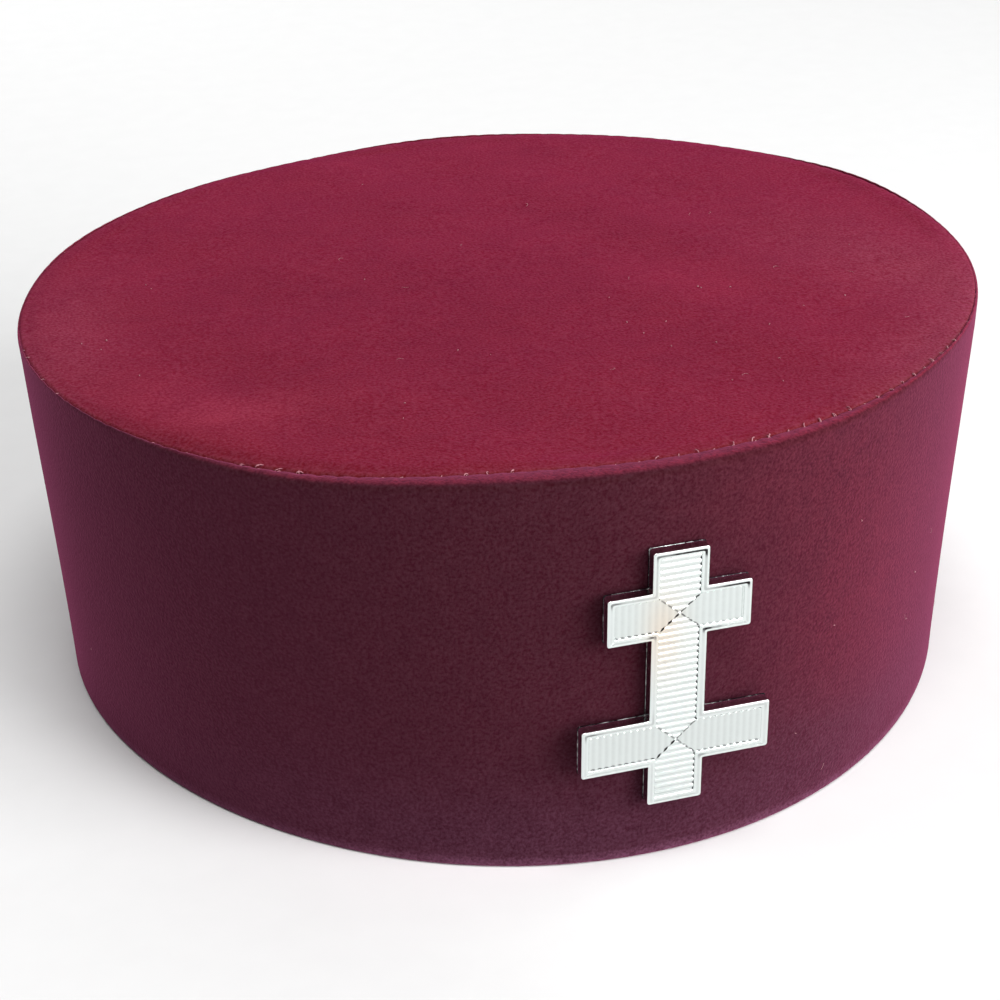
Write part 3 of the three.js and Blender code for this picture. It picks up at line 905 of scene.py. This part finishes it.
def ribbed_pad(left, right, low, high, painted_dots):
    """Points, faces and painted shade of one rectangle of the ribbed field, as a closed shallow pad.

    With u = x / side and v = distance from the nearest bar's middle / half its width, ribs run
    upright where |v| < 1 and |v| < |u|, and level elsewhere, so they meet in a mitre on the
    diagonals of each crossing. Across them the height is rib * (1 + cos(2 pi distance / pitch))
    / 2, and it falls as sqrt(1 - (1 - distance / round)^2) at their right and lower ends.
    Painted shade lies in the valleys: thinly along them, and as dark spots at those ends and in the mitres.
    """
    step = RIB_PITCH / 10
    x = np.linspace(left, right, round((right - left) / step) + 1)
    y = np.linspace(low, high, round((high - low) / step) + 1)
    x = np.concatenate([[left - 0.05], x, [right + 0.05]])[None, :]
    y = np.concatenate([[low - 0.05], y, [high + 0.05]])[:, None]
    bars = np.array([(bar["height"], bar["width"] / 2 - FIELD_INSET) for bar in CROSS_BARS])
    nearest = np.abs(y - bars[:, 0]).argmin(1)
    middle, half = bars[nearest].T[:, :, None]
    side = CROSS_UPRIGHT / 2 - FIELD_INSET
    u = np.abs(x) / side
    v = np.abs(y - middle) / half
    upright = (v < 1) & (v < u)
    crossing = (v < 1) & (u < 1)
    level_ridge = 0.5 - 0.5 * np.cos(2 * math.pi * (y - LEVEL_RIB_START) / RIB_PITCH)
    upright_ridge = 0.5 + 0.5 * np.cos(2 * math.pi * x / RIB_PITCH)
    to_mitre = np.where(crossing, (u - v) * side, np.where(upright, 1.0, -1.0))
    share = smooth_step(to_mitre, -0.12, 0.12)
    ridge = level_ridge * (1 - share) + upright_ridge * share
    to_end = np.where(crossing, 9.0, np.where(upright, half * (1 - v), side * (1 - u)))
    ends = np.sqrt(1 - (1 - np.clip(to_end / 0.4, 0, 1)) ** 2)
    ends = np.where(np.where(upright, y > middle, x < 0), 1.0, ends)
    floor = CROSS_GAP + CROSS_THICKNESS - RIB_FLOOR_DEPTH
    z = floor + RIB_HEIGHT * ridge * ends
    valley = 1 - ridge
    # Painted shade: dark spots at the valleys' lower and right ends, and dashes along the mitres, darker on
    # one leg of each X.
    painted_end_shade = (1 - smooth_step(to_end, 0.2, 0.42)) * np.where(upright, y < middle, x > 0)
    painted_end_shade = painted_end_shade * smooth_step(valley, 0.3, 0.55) * np.where(upright, painted_dots, 1.0)
    in_valley = smooth_step(1 - upright_ridge, 0.12, 0.3)
    painted_mitre_shade = (1 - smooth_step(np.abs(to_mitre), 0.13, 0.27)) * in_valley * crossing
    leg = np.where(x * (y - middle) > 0, 1.0, np.where(x > 0, 0.85, 0.65))
    # Painted shade, thinly along the valleys too.
    painted_shade = np.where(upright, 0.025 + 0.09 * valley, 0.06 * valley) + painted_end_shade + painted_mitre_shade * leg
    z[[0, -1], :] = floor - 0.3
    z[:, [0, -1]] = floor - 0.3
    rows, columns = z.shape
    points = np.stack(np.broadcast_arrays(x, y, z), -1).reshape(-1, 3)
    number = np.arange(rows * columns).reshape(rows, columns)
    quads = np.stack([number[:-1, :-1], number[:-1, 1:], number[1:, 1:], number[1:, :-1]], -1).reshape(-1, 4)
    under = np.concatenate([number[:-1, 0], number[-1, :-1], number[:0:-1, -1], number[0, :0:-1]])[None]
    return points, [quads, under], np.clip(painted_shade, 0, 1).ravel()


def cross(metal):
    """The plate and the ribbed pads of its field, in one mesh."""
    side = CROSS_UPRIGHT / 2 - FIELD_INSET
    end = CROSS_HEIGHT / 2 - FIELD_INSET
    parts = [cross_plate(), ribbed_pad(-side, side, -end, end, 0.8)]
    for bar in CROSS_BARS:
        tip = bar["span"] / 2 - FIELD_INSET
        half = bar["width"] / 2 - FIELD_INSET
        low, high = bar["height"] - half, bar["height"] + half
        parts.append(ribbed_pad(-tip, -side, low, high, bar["painted_dots_left"]))
        parts.append(ribbed_pad(side, tip, low, high, bar["painted_dots_right"]))
    starts = np.cumsum([0] + [len(points) for points, _, _ in parts])
    faces = [group + start for (_, groups, _), start in zip(parts, starts) for group in groups]
    points = np.concatenate([points for points, _, _ in parts])
    warm = ovals(points[:, 0], points[:, 1], WARM_CAST, "warm")
    # Painted shade and dark reflections of the plate and the pads.
    painted_shade = np.concatenate([dirt for _, _, dirt in parts])
    piece = mesh_piece("cross_chrome", on_cross(points), faces, metal, shares={"painted_shade": painted_shade, "warm": warm})
    piece.data.set_sharp_from_angle(angle=math.radians(40))
    return piece


# ---------------- the scene

def lamp(name, kind, azimuth, elevation, distance, energy, **settings):
    """Hangs a light at two angles, from the front and up, and points it at the cap's middle."""
    a, e = math.radians(azimuth), math.radians(elevation)
    direction = Vector((math.sin(a) * math.cos(e), -math.cos(a) * math.cos(e), math.sin(e)))
    light = bpy.data.lights.new(name, kind)
    light.energy = energy
    for setting, value in settings.items():
        setattr(light, setting, value)
    holder = bpy.data.objects.new(name, light)
    holder.rotation_euler = direction.to_track_quat("Z", "Y").to_euler()
    holder.location = direction * distance + Vector((0, 0, LAMP_AIM))
    bpy.context.scene.collection.objects.link(holder)


def floor_plane(material):
    """The floor: a square wide enough to fill the view."""
    half = 12000
    corners = np.array([(-half, -half, 0), (half, -half, 0), (half, half, 0), (-half, half, 0)], float)
    piece = mesh_piece("floor", corners, [np.array([[0, 1, 2, 3]])], material)


def camera():
    """The view from the front left and above, a little tilted, through a long lens."""
    place = Vector((-136.7, -433.6, 261.1))
    azimuth, elevation, roll = np.radians((-17.333, 25.936, 1.315))
    forward = Vector((-math.sin(azimuth) * math.cos(elevation), math.cos(azimuth) * math.cos(elevation),
                      -math.sin(elevation)))
    level = forward.cross(Vector((0, 0, 1))).normalized()
    down = forward.cross(level).normalized()
    right = math.cos(roll) * level + math.sin(roll) * down
    below = -math.sin(roll) * level + math.cos(roll) * down
    lens = bpy.data.cameras.new("camera")
    lens.lens = 83.85
    lens.sensor_width = 36
    lens.shift_y = -0.049
    lens.clip_start = 0.01
    lens.clip_end = 100
    eye = bpy.data.objects.new("camera", lens)
    turn = Matrix((right, -below, -forward)).transposed().to_4x4()
    eye.matrix_world = Matrix.Translation(place * MM) @ turn
    bpy.context.scene.collection.objects.link(eye)
    bpy.context.scene.camera = eye


def room():
    """White studio walls, seen plainly in the chrome, that give the cap only a little light."""
    walls = bpy.data.worlds.new("studio walls")
    bpy.context.scene.world = walls
    walls.use_nodes = True
    tree = walls.node_tree
    rays = add(tree, "LightPath")
    seen = add(tree, "Math", {0: rays["Is Camera Ray"], 1: 0.4, 2: 0.2}, operation="MULTIPLY_ADD")[0]
    strength = add(tree, "Math", {0: rays["Is Glossy Ray"], 1: 0.8, 2: seen}, operation="MULTIPLY_ADD")[0]
    give(tree, tree.nodes["Background"], {"Color": (1, 1, 1, 1), "Strength": strength})


# One velvet in two copies: the crown's is painted lighter and redder and the wall's darker,
# painted light and shade for how the light falls and the pile is seen on the top and the side.
top_velvet_painted_lighter = velvet("cotton velvet, crown, painted lighter", "621212", "742b35", "98303c", "9a5a68", "ff4eab", 0.23)
wall_velvet_painted_darker = velvet("cotton velvet, side band, painted darker", "2c0b10", "3b1e24", "6f1c29", "6f485f", "ff83bb", 0.36)
wall_backing = woven_backing("cotton, plain woven, back of the side band", flat=False)
crown_backing = woven_backing("cotton, plain woven, back of the crown", flat=True)
thread = cotton_thread("cotton thread, twisted", "843f4f", "bd7f88")
fibre = cotton_thread("cotton lint", "8f5560", "cc9aa2")
chrome = chrome_plate("chrome plate, polished")
steel = brushed_steel("spring steel, brushed")
paper = matt_paper("backdrop paper, matt white")

band = side_band(wall_velvet_painted_darker, wall_backing)
top = crown(top_velvet_painted_lighter, crown_backing)
badge = cross(chrome)
stitches = crown_stitches(thread)
fluff = lint(fibre)
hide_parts("side_band")
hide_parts("crown_top")
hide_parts("cross_badge")
for piece, slot in ((band, "velvet"), (top, "velvet"), (stitches, "velvet"), (fluff, "velvet"),
                    (badge, "chrome")):
    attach(piece, "root")
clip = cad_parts["badge_clip"]
clip.data.materials.clear()
clip.data.materials.append(steel)

floor_plane(paper)
camera()
room()
# A far, wide, soft light over the whole floor, and two round softboxes 0.8 m across.
lamp("top light", "SUN", 0, 75, 2.0, 1.65, angle=math.radians(30))
lamp("front softbox", "AREA", 40, 20, 1.0, 13.9, shape="DISK", size=0.8)
lamp("back softbox", "AREA", 186, 35, 1.0, 2.8, shape="DISK", size=0.8)
bpy.context.scene.view_settings.view_transform = "Standard"
